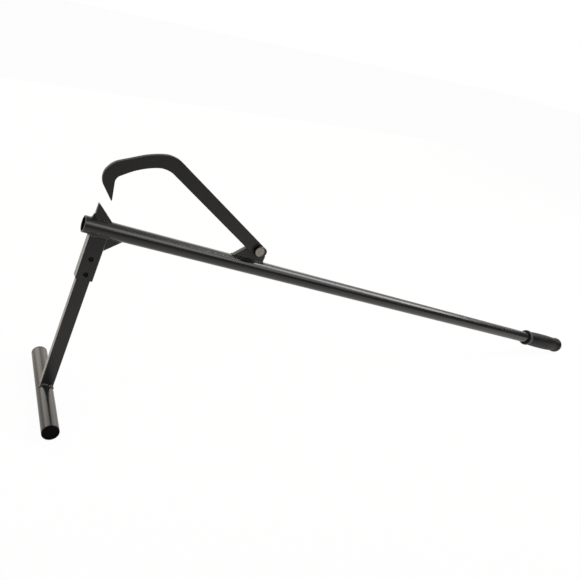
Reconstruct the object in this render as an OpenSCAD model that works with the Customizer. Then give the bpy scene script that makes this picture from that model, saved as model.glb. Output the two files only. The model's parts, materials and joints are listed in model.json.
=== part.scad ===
// Log jack: a two-handed lever with a hinged hook, a fixed tooth and a bolted T stand.
// Units are millimetres. The pieces are drawn in the handle's own frame: X runs along the
// handle from its open end to the grip, Z points away from the stand, Y points to the back.
// standing() then tips that frame so that the foot bar and the grip rest on the floor.

/* [Handle] */
// Outside diameter of the handle tube
tube_d = 25.4; // [22:0.1:32]
// Wall of the handle tube
tube_wall = 2; // [1.5:0.1:3]
// Length from the open end of the tube to the end of the grip
handle_len = 1215.5; // [1000:0.5:1500]

/* [Grip] */
// Length of the rubber grip
grip_len = 141; // [120:1:200]
// Diameter of the collar at the front of the grip
grip_collar_d = 36; // [34:0.1:44]
// Width of the collar
grip_collar_len = 19; // [14:0.5:24]
// Rounding of the collar
grip_collar_r = 4; // [1:0.1:5]
// Diameter of the groove behind the collar
grip_groove_d = 33; // [31:0.1:34]
// Distance from the collar to the bottom of the groove
grip_groove_x = 5; // [3:0.1:8]
// Diameter of the body of the grip
grip_body_d = 36; // [33:0.1:40]
// Diameter of the ring behind the groove
grip_ring_d = 35.6; // [34:0.1:38]
// Distance from the collar to the front of the ring
grip_ring_x = 10; // [9:0.1:12]
// Width of the ring
grip_ring_len = 7; // [6:0.1:8]
// Diameter of the crease behind the ring
grip_crease_d = 34.4; // [32:0.1:35]
// Distance from the ring to the bottom of the crease
grip_crease_x = 4; // [3:0.1:5]
// Distance from the crease to the start of the body
grip_body_x = 6; // [4:0.5:10]
// Distance from the closed end to the end of the body
grip_body_back = 64; // [58:0.5:72]
// Diameter of the waist in front of the end bead
grip_waist_d = 34.2; // [31:0.1:36]
// Distance from the closed end to the waist
grip_waist_back = 41; // [38:0.5:46]
// Diameter of the end bead
grip_bead_d = 35.8; // [34:0.1:44]
// Distance from the closed end to the front of the end bead
grip_bead_back = 27; // [24:0.5:30]
// Rounding of the closed end
grip_end_r = 14; // [8:0.5:16]
// Thickness of the closed end behind the tube
grip_end_wall = 6; // [3:0.5:12]

/* [Tooth] */
// Distance from the open end of the tube to the upright edge of the tooth
tooth_x = 11.4; // [6:0.1:20]
// Height of the tooth above the tube
tooth_h = 24.4; // [15:0.1:35]
// Length of the tooth along the tube
tooth_len = 26.8; // [20:0.1:40]
// Thickness of the tooth plate
tooth_t = 6; // [4:0.1:7]
// Rounding of the tooth point
tooth_point_r = 1; // [0.5:0.1:3]

/* [Stand] */
// Distance from the open end of the tube to the middle of the leg
leg_x = 24.5; // [20:0.1:40]
// Distance from the handle axis down to the foot bar axis
stand_h = 287; // [220:1:360]
// Width of the leg tube along the handle
leg_w = 19.9; // [16:0.1:20]
// Depth of the leg tube across the handle
leg_d = 13.4; // [10:0.1:13.6]
// Wall of the leg tube
leg_wall = 2; // [1.2:0.1:3]
// Outer corner radius of the leg tube
leg_corner_r = 1.5; // [0.5:0.1:2]
// Distance from the handle axis down to the upper end of the leg
leg_top = 24; // [18:0.5:34]
// Width of the socket along the handle
socket_w = 25.4; // [25:0.1:30]
// Depth of the socket across the handle
socket_d = 19.05; // [18.6:0.05:22]
// Wall of the socket
socket_wall = 2.5; // [2:0.1:2.6]
// Outer corner radius of the socket
socket_corner_r = 2; // [1:0.1:2.4]
// Distance from the handle axis down to the lower end of the socket
socket_end = 82.5; // [80:0.5:120]
// Length of the gusset along the tube
gusset_len = 23.5; // [15:0.5:40]
// Height of the gusset along the socket
gusset_h = 21.5; // [12:0.5:30]
// Thickness of the gusset plate
gusset_t = 6; // [4:0.1:8]

/* [Foot bar] */
// Outside diameter of the foot bar
foot_d = 25.4; // [22:0.1:32]
// Wall of the foot bar
foot_wall = 2; // [1.5:0.1:3]
// Length of the foot bar with its end plugs
foot_len = 216; // [160:1:320]
// Thickness of the flange of an end plug
plug_flange = 3; // [2:0.1:5]
// Depth of the spigot of an end plug inside the bar
plug_depth = 14; // [8:0.5:20]
// Wall of the spigot of an end plug
plug_wall = 1.8; // [1.2:0.1:3]
// Diameter of the dish in the outer face of an end plug
plug_dish_d = 16.5; // [12:0.5:18]
// Depth of that dish
plug_dish = 0.8; // [0.4:0.1:1.2]

/* [Hook bracket] */
// Distance from the open end of the tube to the front foot of the bracket
bracket_x = 239.5; // [230:0.5:250]
// Length of the bracket along the tube
bracket_len = 57.5; // [52:0.5:70]
// Thickness of the bracket plate
bracket_t = 8; // [6:0.1:9]
// Height of the upright rear edge above the handle axis
bracket_rear_h = 25; // [18:0.5:28]
// Radius of the bracket round the pivot
bracket_eye_r = 10.3; // [9:0.1:11]
// Distance from the open end of the tube to the pivot
pivot_x = 275.3; // [265:0.1:280]
// Height of the pivot above the handle axis
pivot_h = 34.9; // [33:0.1:40]

/* [Hook] */
// Thickness of the hook plate
hook_t = 8; // [6:0.1:10]
// Width of the arm of the hook
hook_arm_w = 20.6; // [18:0.1:23]
// Rise of the arm from the pivot in degrees
hook_arm_tilt = 25.8; // [23:0.1:28]
// Length of the arm behind the pivot
hook_heel = 16.5; // [10:0.1:18]
// Rounding of the two corners behind the pivot
hook_heel_r = 8.4; // [6:0.1:8.8]
// Fall of the upper edge from the crown to the nose in degrees
hook_run_tilt = 29.5; // [27:0.1:32]
// Distance from the pivot forward to the corner of the crown
hook_crown_x = 194; // [180:1:200]
// Distance from the pivot forward to the corner of the nose
hook_nose_x = 287.5; // [280:0.5:296]
// Distance from the pivot forward to the tip
hook_tip_x = 250.5; // [247:0.5:254]
// Height of the tip above the pivot
hook_tip_h = 9.2; // [6:0.1:14]
// Distance from the pivot forward to the inner corner of the beak
hook_throat_x = 256.8; // [253:0.1:259]
// Height of that inner corner above the pivot
hook_throat_h = 47.8; // [44:0.1:51]
// Distance from the pivot forward to the bend of the inner edge
hook_neck_x = 218.1; // [212:0.1:222]
// Height of that bend above the pivot
hook_neck_h = 77; // [72:0.1:80]
// Distance from the pivot forward to the inner end of the arm
hook_bend_x = 190; // [186:0.1:195]
// Radius of the crown
hook_crown_r = 44; // [25:1:50]
// Radius of the nose
hook_nose_r = 26; // [15:1:30]
// Radius of the tip
hook_tip_r = 1.5; // [0.8:0.1:2.5]
// Radius of the inner corner of the beak
hook_throat_r = 12; // [6:1:14]
// Radius of the bend of the inner edge
hook_neck_r = 68; // [40:1:75]
// Radius of the inner end of the arm
hook_bend_r = 31; // [20:1:35]

/* [Fasteners] */
// Thread diameter of the pivot bolt
pivot_d = 10; // [8:0.5:11]
// Size across the flats of the pivot bolt head and its nut
pivot_flats = 17; // [16:0.5:19]
// Height of the pivot bolt head
pivot_head = 6.4; // [5:0.1:8]
// Height of the hexagon of the lock nut
nut_hex = 8; // [6:0.1:10]
// Height of the round crown of the lock nut
nut_crown = 2.2; // [1.5:0.1:4]
// Diameter of that crown
nut_crown_d = 14.6; // [14:0.1:16]
// Outside diameter of the nylon ring in the crown
nut_ring_d = 12.4; // [12:0.1:13]
// Diameter of the washer under the lock nut
pivot_washer_d = 21; // [18:0.5:24]
// Thickness of that washer
pivot_washer_t = 2; // [1:0.1:3]
// Length of bolt that stands out of the lock nut
pivot_stub = 1.8; // [0.5:0.1:6]
// Thread diameter of a leg bolt
leg_bolt_d = 8; // [6:0.5:9]
// Length of a leg bolt under its head
leg_bolt_len = 18; // [17:0.5:20]
// Size across the flats of a leg bolt head
leg_bolt_flats = 13; // [12:0.5:15]
// Height of a leg bolt head
leg_bolt_head = 5.3; // [4:0.1:7]
// Diameter of a leg bolt washer
leg_washer_d = 16; // [14:0.5:18]
// Thickness of a leg bolt washer
leg_washer_t = 1.6; // [1:0.1:2]
// Distance from the handle axis down to the upper leg bolt
leg_bolt_drop = 48; // [42:0.1:52]
// Distance between the two leg bolts
leg_bolt_pitch = 25.4; // [20:0.1:26]

/* [Welds and clearances] */
// Radius of the beads beside the tooth, the gusset and the bracket
plate_bead = 2.4; // [2:0.1:3]
// How far those beads stop short of the ends of their plates
bead_inset = 3; // [2:0.1:4]
// Radius of the lump at the front foot of the tooth
tooth_lump = 4; // [3:0.1:5]
// How far that lump stands out at each side of the tooth
lump_side = 1.5; // [0.5:0.1:2]
// Radius of the bead round the socket
socket_bead = 3; // [2:0.1:4]
// Radius of the bead round the foot of the leg
foot_bead = 2.4; // [2:0.1:4]
// How much the lumps at the ends of a bead are thicker than the bead
bead_swell = 0.2; // [0.1:0.05:0.5]
// Gap between a welded piece and the tube it sits on
weld_gap = 0.05; // [0.02:0.01:0.1]
// Radial gap of the hook on the pivot bolt
pivot_run = 0.05; // [0.02:0.01:0.1]
// Side gap of the hook to the bracket and to the bolt head
hook_side = 0.3; // [0.2:0.05:0.5]
// Radial gap of a bolt in the holes that it only passes through
bolt_slack = 0.25; // [0.1:0.05:0.5]
// Radial gap of a leg bolt in the tapped front wall
tap_slack = 0.05; // [0.02:0.01:0.1]
// Radial gap of the grip and of the plugs on the tube
push_slack = 0.1; // [0.02:0.01:0.2]

/* [Hidden] */
$fn = 64;
paint = [0.17, 0.17, 0.16];
rubber = [0.16, 0.16, 0.17];
zinc = [0.6, 0.59, 0.56];
oxide = [0.09, 0.09, 0.09];
plastic = [0.06, 0.06, 0.06];
nylon = [0.75, 0.76, 0.8];
tube_r = tube_d / 2;
foot_r = foot_d / 2;
arc_step = 5;
arc_trim = 0.01;
reach = 40;

// Floor contact: the end bead of the grip and the foot bar touch one level floor.
bead_x = handle_len - grip_end_r;
bead_z = grip_bead_d / 2 - grip_end_r;
run_x = bead_x - leg_x;
drop_z = stand_h - bead_z;
tilt = atan2(drop_z, run_x) + asin((foot_r - grip_end_r) / norm([run_x, drop_z]));
floor_z = leg_x * sin(tilt) + stand_h * cos(tilt) + foot_r;
front_x = leg_x * cos(tilt) - stand_h * sin(tilt) - foot_r;
rear_x = bead_x * cos(tilt) + bead_z * sin(tilt) + grip_end_r;

// Fronts and backs of the layers at the pivot, along Y.
bracket_back = bracket_t / 2;
hook_back = -bracket_t / 2 - hook_side;
hook_front = hook_back - hook_t;
head_back = hook_front - hook_side;
nut_front = bracket_back + pivot_washer_t;
nut_back = nut_front + nut_hex + nut_crown;

// Corners of the hook, from the pivot: X is minus forward, second value is up.
arm_up = hook_arm_w / 2 / cos(hook_arm_tilt);
arm_dir = [cos(hook_arm_tilt), -sin(hook_arm_tilt)];
arm_side = [sin(hook_arm_tilt), cos(hook_arm_tilt)] * hook_arm_w / 2;
heel = arm_dir * hook_heel;
crown_h = hook_crown_x * tan(hook_arm_tilt) + arm_up;
nose_h = crown_h - (hook_nose_x - hook_crown_x) * tan(hook_run_tilt);
bend_h = hook_bend_x * tan(hook_arm_tilt) - arm_up;
hook_corners = [
    [heel[0] + arm_side[0], heel[1] + arm_side[1], hook_heel_r],
    [-hook_crown_x, crown_h, hook_crown_r],
    [-hook_nose_x, nose_h, hook_nose_r],
    [-hook_tip_x, hook_tip_h, hook_tip_r],
    [-hook_throat_x, hook_throat_h, hook_throat_r],
    [-hook_neck_x, hook_neck_h, hook_neck_r],
    [-hook_bend_x, bend_h, hook_bend_r],
    [heel[0] - arm_side[0], heel[1] - arm_side[1], hook_heel_r]
];

// Outline of the grip: distance along the handle, radius, rounding.
grip_x = handle_len - grip_len;
collar_end = grip_x + grip_collar_len;
ring_start = collar_end + grip_ring_x;
ring_end = ring_start + grip_ring_len;
grip_corners = [
    [grip_x, 0, 0],
    [grip_x, grip_collar_d / 2, grip_collar_r],
    [collar_end, grip_collar_d / 2, grip_collar_r],
    [collar_end + grip_groove_x, grip_groove_d / 2, 2],
    [ring_start, grip_ring_d / 2, 2],
    [ring_end, grip_ring_d / 2, 2],
    [ring_end + grip_crease_x, grip_crease_d / 2, 1],
    [ring_end + grip_crease_x + grip_body_x, grip_body_d / 2, 8],
    [handle_len - grip_body_back, grip_body_d / 2, 60],
    [handle_len - grip_waist_back, grip_waist_d / 2, 30],
    [handle_len - grip_bead_back, grip_bead_d / 2, 10],
    [handle_len, grip_bead_d / 2, grip_end_r],
    [handle_len, 0, 0]
];

function unit(v) = v / norm(v);

function xy(p) = [p[0], p[1]];

// Points of the arc of radius r that rounds the corner b between a and c.
function corner_arc(a, b, c, r) =
    let (u = unit(a - b))
    let (v = unit(c - b))
    let (half = acos(u * v) / 2)
    let (centre = b + unit(u + v) * r / sin(half))
    let (p = b + u * r / tan(half) - centre)
    let (q = b + v * r / tan(half) - centre)
    let (from = atan2(p[1], p[0]))
    let (span = (atan2(q[1], q[0]) - from + 540) % 360 - 180)
    let (steps = max(2, ceil(abs(span) / arc_step)))
    [for (i = [0 : steps]) centre + r * [cos(from + span * i / steps), sin(from + span * i / steps)]];

// Direction from a point to the tangent of a circle; a negative radius takes the other side.
function tangent_angle(from, centre, r) =
    let (d = centre - from)
    atan2(d[1], d[0]) + asin(r / norm(d));

// Closed outline from corners given as position and rounding.
function rounded(corners) =
    let (n = len(corners))
    [for (i = [0 : n - 1])
        let (a = xy(corners[(i + n - 1) % n]))
        let (b = xy(corners[i]))
        let (c = xy(corners[(i + 1) % n]))
        each (corners[i][2] == 0 ? [b] : corner_arc(a, b, c, corners[i][2]))];

// Handle frame to the standing frame: centred on the floor under the whole object.
module standing() {
    translate([-(front_x + rear_x) / 2, 0, floor_z])
        rotate([0, tilt, 0])
            children();
}

// Plate of thickness t in the handle's middle plane or at a given back face.
module plate(t, back) {
    translate([0, back, 0])
        rotate([90, 0, 0])
            linear_extrude(t)
                children();
}

module along_x(x, length, r) {
    translate([x, 0, 0])
        rotate([0, 90, 0])
            cylinder(h = length, r = r);
}

module along_y(y, length, r) {
    translate([0, y, 0])
        rotate([-90, 0, 0])
            cylinder(h = length, r = r);
}

// Room taken by the handle tube, with the welding gap round it.
module tube_room() {
    along_x(-reach, handle_len, tube_r + weld_gap);
}

// Room taken by the foot bar, with the welding gap round it.
module foot_room() {
    translate([leg_x, 0, -stand_h])
        along_y(-foot_len / 2, foot_len, foot_r + weld_gap);
}

module box_tube(w, d, r) {
    square([w - 2 * r, d], center = true);
    square([w, d - 2 * r], center = true);
    for (i = [-1, 1])
        for (j = [-1, 1])
            translate([i * (w / 2 - r), j * (d / 2 - r)])
                circle(r);
}

module hex_head(flats, h) {
    intersection() {
        cylinder(h = h, r = flats / sqrt(3), $fn = 6);
        cylinder(h = h, r1 = flats * 0.46 + h * 1.7, r2 = flats * 0.46);
    }
}

// Straight bead along X with a lump at each end, at the foot of a plate of thickness t.
module side_bead(x, length, t, r, side) {
    translate([0, side * t / 2, sqrt(tube_r * tube_r - t * t / 4)]) {
        along_x(x, length, r);
        translate([x, 0, 0])
            sphere(r + bead_swell);
        translate([x + length, 0, 0])
            sphere(r + bead_swell);
    }
}

// Bead that follows the underside of a tube along its girth, half the angle to each side.
module girth_bead(ring_r, half, r) {
    rotate([0, 90, 0])
        rotate([0, 0, -half])
            rotate_extrude(angle = 2 * half)
                translate([ring_r, 0])
                    circle(r);
}

// Steel tube with an open front end; the grip closes the other end.
module handle_tube() {
    standing()
        color(paint)
            difference() {
                along_x(0, handle_len - grip_end_wall, tube_r);
                along_x(-1, handle_len - grip_end_wall + 2, tube_r - tube_wall);
            }
}

// Moulded rubber grip with a collar, a groove, a waist and a closed end.
module handle_grip() {
    standing()
        color(rubber)
            difference() {
                rotate([0, 90, 0])
                    rotate([0, 0, 90])
                        rotate_extrude()
                            polygon([for (p = rounded(grip_corners)) [p[1], p[0]]]);
                along_x(grip_x - 1, grip_len - grip_end_wall + 1, tube_r + push_slack);
            }
}

module tooth_shape() {
    polygon(rounded([
        [tooth_x, 0, 0],
        [tooth_x, tube_r + tooth_h, tooth_point_r],
        [tooth_x + tooth_len, tube_r, 0.5],
        [tooth_x + tooth_len, 0, 0]
    ]));
}

// Pointed plate welded on the tube: it bites into the underside of the log.
module tooth_plate() {
    standing()
        color(paint)
            difference() {
                plate(tooth_t, tooth_t / 2)
                    tooth_shape();
                tube_room();
            }
}

// Beads on both sides of the tooth and the lump at its upright edge.
module tooth_weld() {
    standing()
        color(paint)
            difference() {
                union() {
                    for (side = [-1, 1])
                        side_bead(tooth_x + bead_inset, tooth_len - 2 * bead_inset,
                                  tooth_t, plate_bead, side);
                    translate([tooth_x, 0, tube_r - bead_swell])
                        along_y(-tooth_t / 2 - lump_side, tooth_t + 2 * lump_side, tooth_lump);
                }
                plate(tooth_t + 2 * weld_gap, tooth_t / 2 + weld_gap)
                    tooth_shape();
                tube_room();
            }
}

module gusset_shape() {
    x = leg_x + socket_w / 2 + weld_gap;
    polygon([
        [x, 0],
        [x + gusset_len, 0],
        [x + gusset_len, -tube_r],
        [x, -tube_r - gusset_h]
    ]);
}

// Three-cornered plate that braces the socket against the tube.
module gusset_plate() {
    standing()
        color(paint)
            difference() {
                plate(gusset_t, gusset_t / 2)
                    gusset_shape();
                tube_room();
            }
}

// Beads along the tube and along the socket on both faces of the gusset.
module gusset_weld() {
    x = leg_x + socket_w / 2;
    start = socket_bead + plate_bead + 2 * bead_swell;
    standing()
        color(paint)
            difference() {
                for (side = [-1, 1]) {
                    mirror([0, 0, 1])
                        side_bead(x + start, gusset_len - start - bead_inset, gusset_t, plate_bead, side);
                    translate([x, side * gusset_t / 2, -tube_r - gusset_h + bead_inset]) {
                        cylinder(h = gusset_h - bead_inset - start, r = plate_bead);
                        sphere(plate_bead + bead_swell);
                    }
                }
                plate(gusset_t + 2 * weld_gap, gusset_t / 2 + weld_gap)
                    gusset_shape();
                translate([leg_x - socket_w / 2, -socket_d / 2, -socket_end])
                    cube([socket_w + weld_gap, socket_d, socket_end]);
                tube_room();
            }
}

// Rectangular tube welded under the handle; the leg slides into it and is bolted.
module leg_socket() {
    standing()
        color(paint)
            difference() {
                translate([leg_x, 0, -socket_end])
                    linear_extrude(socket_end)
                        difference() {
                            box_tube(socket_w, socket_d, socket_corner_r);
                            square([socket_w - 2 * socket_wall, socket_d - 2 * socket_wall], center = true);
                        }
                tube_room();
                for (i = [0, 1])
                    translate([leg_x, 0, -leg_bolt_drop - i * leg_bolt_pitch])
                        along_y(-socket_d, 2 * socket_d, leg_bolt_d / 2 + bolt_slack);
            }
}

// Bead round the top of the socket where it meets the tube.
module socket_weld() {
    half = asin(socket_d / 2 / tube_r);
    standing()
        color(paint)
            difference() {
                union() {
                    for (side = [-1, 1]) {
                        mirror([0, 0, 1])
                            side_bead(leg_x - socket_w / 2, socket_w, socket_d, socket_bead, side);
                        translate([leg_x + side * socket_w / 2, 0, 0])
                            girth_bead(tube_r, half, socket_bead);
                    }
                }
                translate([leg_x - socket_w / 2 - weld_gap, -socket_d / 2 - weld_gap, -socket_end])
                    cube([socket_w + 2 * weld_gap, socket_d + 2 * weld_gap, socket_end]);
                plate(gusset_t + 2 * weld_gap, gusset_t / 2 + weld_gap)
                    gusset_shape();
                tube_room();
            }
}

// Rectangular tube from the socket down to the foot bar, cut to sit on the bar.
module stand_leg() {
    standing()
        color(paint)
            difference() {
                translate([leg_x, 0, -stand_h])
                    linear_extrude(stand_h - leg_top)
                        difference() {
                            box_tube(leg_w, leg_d, leg_corner_r);
                            square([leg_w - 2 * leg_wall, leg_d - 2 * leg_wall], center = true);
                        }
                foot_room();
                for (i = [0, 1])
                    translate([leg_x, 0, -leg_bolt_drop - i * leg_bolt_pitch]) {
                        along_y(0, socket_d, leg_bolt_d / 2 + bolt_slack);
                        along_y(-socket_d, socket_d, leg_bolt_d / 2 + tap_slack);
                    }
            }
}

// Black hexagon bolts from the back, screwed into the front wall of the leg.
module leg_bolts() {
    seat = socket_d / 2 + leg_washer_t;
    standing()
        color(oxide)
            for (i = [0, 1])
                translate([leg_x, 0, -leg_bolt_drop - i * leg_bolt_pitch]) {
                    along_y(seat - leg_bolt_len, leg_bolt_len, leg_bolt_d / 2);
                    translate([0, seat, 0])
                        rotate([-90, 0, 0])
                            hex_head(leg_bolt_flats, leg_bolt_head);
                }
}

// Plain washers under the heads of the leg bolts.
module leg_bolt_washers() {
    standing()
        color(oxide)
            for (i = [0, 1])
                translate([leg_x, 0, -leg_bolt_drop - i * leg_bolt_pitch])
                    difference() {
                        along_y(socket_d / 2, leg_washer_t, leg_washer_d / 2);
                        along_y(socket_d / 2 - 1, leg_washer_t + 2, leg_bolt_d / 2 + bolt_slack);
                    }
}

// Cross tube that stands on the ground.
module foot_bar() {
    tube_len = foot_len - 2 * plug_flange;
    standing()
        color(paint)
            translate([leg_x, 0, -stand_h])
                difference() {
                    along_y(-tube_len / 2, tube_len, foot_r);
                    along_y(-tube_len / 2 - 1, tube_len + 2, foot_r - foot_wall);
                }
}

// Bead round the foot of the leg on the cross tube.
module foot_weld() {
    half = asin(leg_w / 2 / foot_r);
    rise = sqrt(foot_r * foot_r - leg_w * leg_w / 4);
    standing()
        color(paint)
            difference() {
                translate([leg_x, 0, -stand_h])
                    for (side = [-1, 1]) {
                        translate([0, side * leg_d / 2, 0])
                            rotate([0, 0, 90])
                                mirror([0, 0, 1])
                                    girth_bead(foot_r, half, foot_bead);
                        translate([side * leg_w / 2, 0, rise]) {
                            along_y(-leg_d / 2, leg_d, foot_bead);
                            for (end = [-1, 1])
                                translate([0, end * leg_d / 2, 0])
                                    sphere(foot_bead + bead_swell);
                        }
                    }
                translate([leg_x - leg_w / 2 - weld_gap, -leg_d / 2 - weld_gap, -stand_h])
                    cube([leg_w + 2 * weld_gap, leg_d + 2 * weld_gap, stand_h]);
                foot_room();
            }
}

// Moulded plugs pushed into both ends of the cross tube.
module foot_plugs() {
    bore = foot_r - foot_wall - push_slack;
    standing()
        color(plastic)
            translate([leg_x, 0, -stand_h])
                for (turn = [0, 180])
                    rotate([0, 0, turn])
                        translate([0, foot_len / 2 - plug_flange, 0])
                            difference() {
                                union() {
                                    along_y(0, plug_flange - 1, foot_r - push_slack);
                                    translate([0, plug_flange - 1, 0])
                                        rotate([-90, 0, 0])
                                            cylinder(h = 1, r1 = foot_r - push_slack, r2 = foot_r - 1);
                                    along_y(-plug_depth, plug_depth, bore);
                                }
                                along_y(plug_flange - plug_dish, 2 * plug_dish, plug_dish_d / 2);
                                along_y(-plug_depth - 1, plug_depth + 1, bore - plug_wall);
                            }
}

// The front edge and the rear slope both run tangent to the round top at the pivot.
module bracket_shape() {
    rear = bracket_x + bracket_len;
    top = pivot_h + bracket_eye_r;
    pivot = [pivot_x, pivot_h];
    front_slope = tan(tangent_angle([bracket_x, tube_r], pivot, bracket_eye_r));
    rear_slope = tan(tangent_angle([rear, bracket_rear_h], pivot, -bracket_eye_r));
    polygon(rounded([
        [bracket_x - tube_r / front_slope, 0, 0],
        [bracket_x + (top - tube_r) / front_slope, top, bracket_eye_r - arc_trim],
        [rear + (top - bracket_rear_h) / rear_slope, top, bracket_eye_r - arc_trim],
        [rear, bracket_rear_h, 2],
        [rear, 0, 0]
    ]));
}

// Single plate welded upright on the tube; the hook laps its front face.
module hook_bracket() {
    standing()
        color(paint)
            difference() {
                plate(bracket_t, bracket_back)
                    bracket_shape();
                tube_room();
                translate([pivot_x, 0, pivot_h])
                    along_y(-bracket_t, 2 * bracket_t, pivot_d / 2 + bolt_slack);
            }
}

// One bead along each side of the bracket.
module bracket_weld() {
    standing()
        color(paint)
            for (side = [-1, 1])
                difference() {
                    side_bead(bracket_x + bead_inset, bracket_len - 2 * bead_inset,
                              bracket_t, plate_bead, side);
                    translate([bracket_x - reach, -bracket_t / 2 - weld_gap, 0])
                        cube([bracket_len + 2 * reach, bracket_t + 2 * weld_gap, pivot_h]);
                    tube_room();
                }
}

// Flame-cut plate: straight arm, crown, nose and a beak that closes on the log.
module hook() {
    standing()
        color(paint)
            translate([pivot_x, 0, pivot_h])
                difference() {
                    plate(hook_t, hook_back)
                        polygon(rounded(hook_corners));
                    along_y(hook_front - 1, hook_t + 2, pivot_d / 2 + pivot_run);
                }
}

// Hexagon bolt on which the hook turns, its head on the front face of the hook.
module pivot_bolt() {
    standing()
        color(zinc)
            translate([pivot_x, 0, pivot_h]) {
                translate([0, head_back, 0])
                    rotate([90, 0, 0])
                        hex_head(pivot_flats, pivot_head);
                along_y(head_back, nut_back + pivot_stub - head_back, pivot_d / 2);
            }
}

// Plain washer between the bracket and the lock nut.
module pivot_washer() {
    standing()
        color(zinc)
            translate([pivot_x, 0, pivot_h])
                difference() {
                    along_y(bracket_back, pivot_washer_t, pivot_washer_d / 2);
                    along_y(bracket_back - 1, pivot_washer_t + 2, pivot_d / 2 + bolt_slack);
                }
}

// Lock nut: hexagon with a round crown that holds the nylon ring.
module pivot_lock_nut() {
    standing()
        color(zinc)
            translate([pivot_x, nut_front, pivot_h])
                difference() {
                    union() {
                        rotate([-90, 0, 0])
                            hex_head(pivot_flats, nut_hex);
                        along_y(nut_hex, nut_crown, nut_crown_d / 2);
                    }
                    along_y(-1, nut_hex + nut_crown + 2, pivot_d / 2 + tap_slack);
                    along_y(nut_hex, nut_crown + 1, nut_ring_d / 2);
                }
}

// Nylon ring in the crown of the lock nut; it keeps the set friction of the hook.
module lock_nut_ring() {
    standing()
        color(nylon)
            translate([pivot_x, nut_front + nut_hex, pivot_h])
                difference() {
                    along_y(0, nut_crown - 0.4, nut_ring_d / 2 - tap_slack);
                    along_y(-1, nut_crown + 2, pivot_d / 2 + tap_slack);
                }
}

handle_tube();
handle_grip();
tooth_plate();
tooth_weld();
gusset_plate();
gusset_weld();
leg_socket();
socket_weld();
stand_leg();
leg_bolts();
leg_bolt_washers();
foot_bar();
foot_weld();
foot_plugs();
hook_bracket();
bracket_weld();
hook();
pivot_bolt();
pivot_washer();
pivot_lock_nut();
lock_nut_ring();
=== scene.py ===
import json
from math import asin, atan2, pi, radians, sin, sqrt, tan

import bpy
from mathutils import Matrix, Vector


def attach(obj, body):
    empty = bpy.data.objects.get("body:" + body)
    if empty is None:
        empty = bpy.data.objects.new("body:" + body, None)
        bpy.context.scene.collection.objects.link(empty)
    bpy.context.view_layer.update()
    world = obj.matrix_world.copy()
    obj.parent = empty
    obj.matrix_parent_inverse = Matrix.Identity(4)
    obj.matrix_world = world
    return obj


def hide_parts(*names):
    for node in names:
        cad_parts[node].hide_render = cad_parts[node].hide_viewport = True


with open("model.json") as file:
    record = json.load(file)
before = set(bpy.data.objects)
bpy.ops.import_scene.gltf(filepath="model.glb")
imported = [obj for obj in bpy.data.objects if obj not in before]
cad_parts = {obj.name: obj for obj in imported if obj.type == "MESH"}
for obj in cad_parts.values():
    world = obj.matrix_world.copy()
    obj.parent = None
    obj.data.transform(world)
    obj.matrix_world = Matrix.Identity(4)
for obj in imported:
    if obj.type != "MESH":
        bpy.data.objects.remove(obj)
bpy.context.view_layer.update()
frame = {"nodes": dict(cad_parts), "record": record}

# Camera: the studio camera stands at the front left, above the open end of the handle.
# It looks down on the jack and is rolled, so that the leg leans to the right in the picture.
CAMERA_PLACE = (-0.684758, -0.80658, 0.611998)
CAMERA_TURN = radians(30.775)
CAMERA_DROP = radians(24.392)
CAMERA_ROLL = radians(13.149)
CAMERA_LENS = 35.58
CAMERA_SENSOR = 36.0

camera_data = bpy.data.cameras.new("studio_camera")
camera_data.lens = CAMERA_LENS
camera_data.sensor_width = CAMERA_SENSOR
camera = bpy.data.objects.new("studio_camera", camera_data)
bpy.context.scene.collection.objects.link(camera)
aim = Matrix.Rotation(-CAMERA_TURN, 4, "Z") @ Matrix.Rotation(pi / 2 - CAMERA_DROP, 4, "X")
camera.matrix_world = Matrix.Translation(CAMERA_PLACE) @ aim @ Matrix.Rotation(CAMERA_ROLL, 4, "Z")
bpy.context.scene.camera = camera
bpy.context.scene.view_settings.view_transform = "Standard"


# Studio: a sheet of warm white paper in a white room, with softboxes at the front, right and back.
# The paper's colour and its glow in reflections are painted dimmer towards the camera, a painted falloff of
# light. A dark cloth hangs behind the camera and a grey ceiling over the room; only reflections show these
# two, and they keep the black steel dark.
def linear(hex_colour):
    """Turns an sRGB hex colour into linear red, green, blue and alpha."""
    channels = [int(hex_colour[i:i + 2], 16) / 255 for i in (1, 3, 5)]
    flat = [c / 12.92 if c <= 0.04045 else ((c + 0.055) / 1.055) ** 2.4 for c in channels]
    return (*flat, 1.0)


def add_node(tree, kind, settings=(), inputs=(), links=()):
    """Adds one node, sets its properties and sockets, and links sockets to other nodes' outputs."""
    node = tree.nodes.new(kind)
    for name, value in dict(settings).items():
        setattr(node, name, value)
    for name, value in dict(inputs).items():
        node.inputs[name].default_value = value
    for name, output in dict(links).items():
        tree.links.new(output, node.inputs[name])
    return node


WHITE = (1, 1, 1, 1)
PAPER = "#fffdf8"
ROOM_WARM = "#fff5e8"
LAMP_WARM = "#fff7e9"
LAMP_WHITE = "#ffffff"
FLOOR_SIZE = 30.0
WHITE_SHARE = 0.96
GLOW_SHARE = 0.35
LIT_FROM_Y = -0.15
DIM_FROM_Y = -1.4
DIM_STRENGTH = 0.25
ROOM_LIGHT = 0.45
CLOTH_SIDES = 96
CLOTH_RADIUS = 2.6
CLOTH_HEIGHT = 1.35
CLOTH_MIDDLE = (0.0, 0.0, 0.0)
CLOTH_LEFT_SIDE = (-0.6, 0.8, 0.0)
CLOTH_RIGHT_SIDE = (-0.2, 0.98, 0.0)
CLOTH_TOP_PLACE = (0.0, 0.0, 0.75)
CLOTH_TOP_SIDE = (-0.21, 0.0, 0.98)
CLOTH_GLOW = ((-0.4, 0.26), (1.2, 0.04))
CEILING_SIZE = 9.0
CEILING_HEIGHT = 2.7
CEILING_GLOW = ((0.8, 0.58), (2.0, 1.5))

# A Mix node that blends colours has its two colours and its result at these sockets.
COLOUR_A = 6
COLOUR_B = 7
COLOUR_OUT = 2

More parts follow.
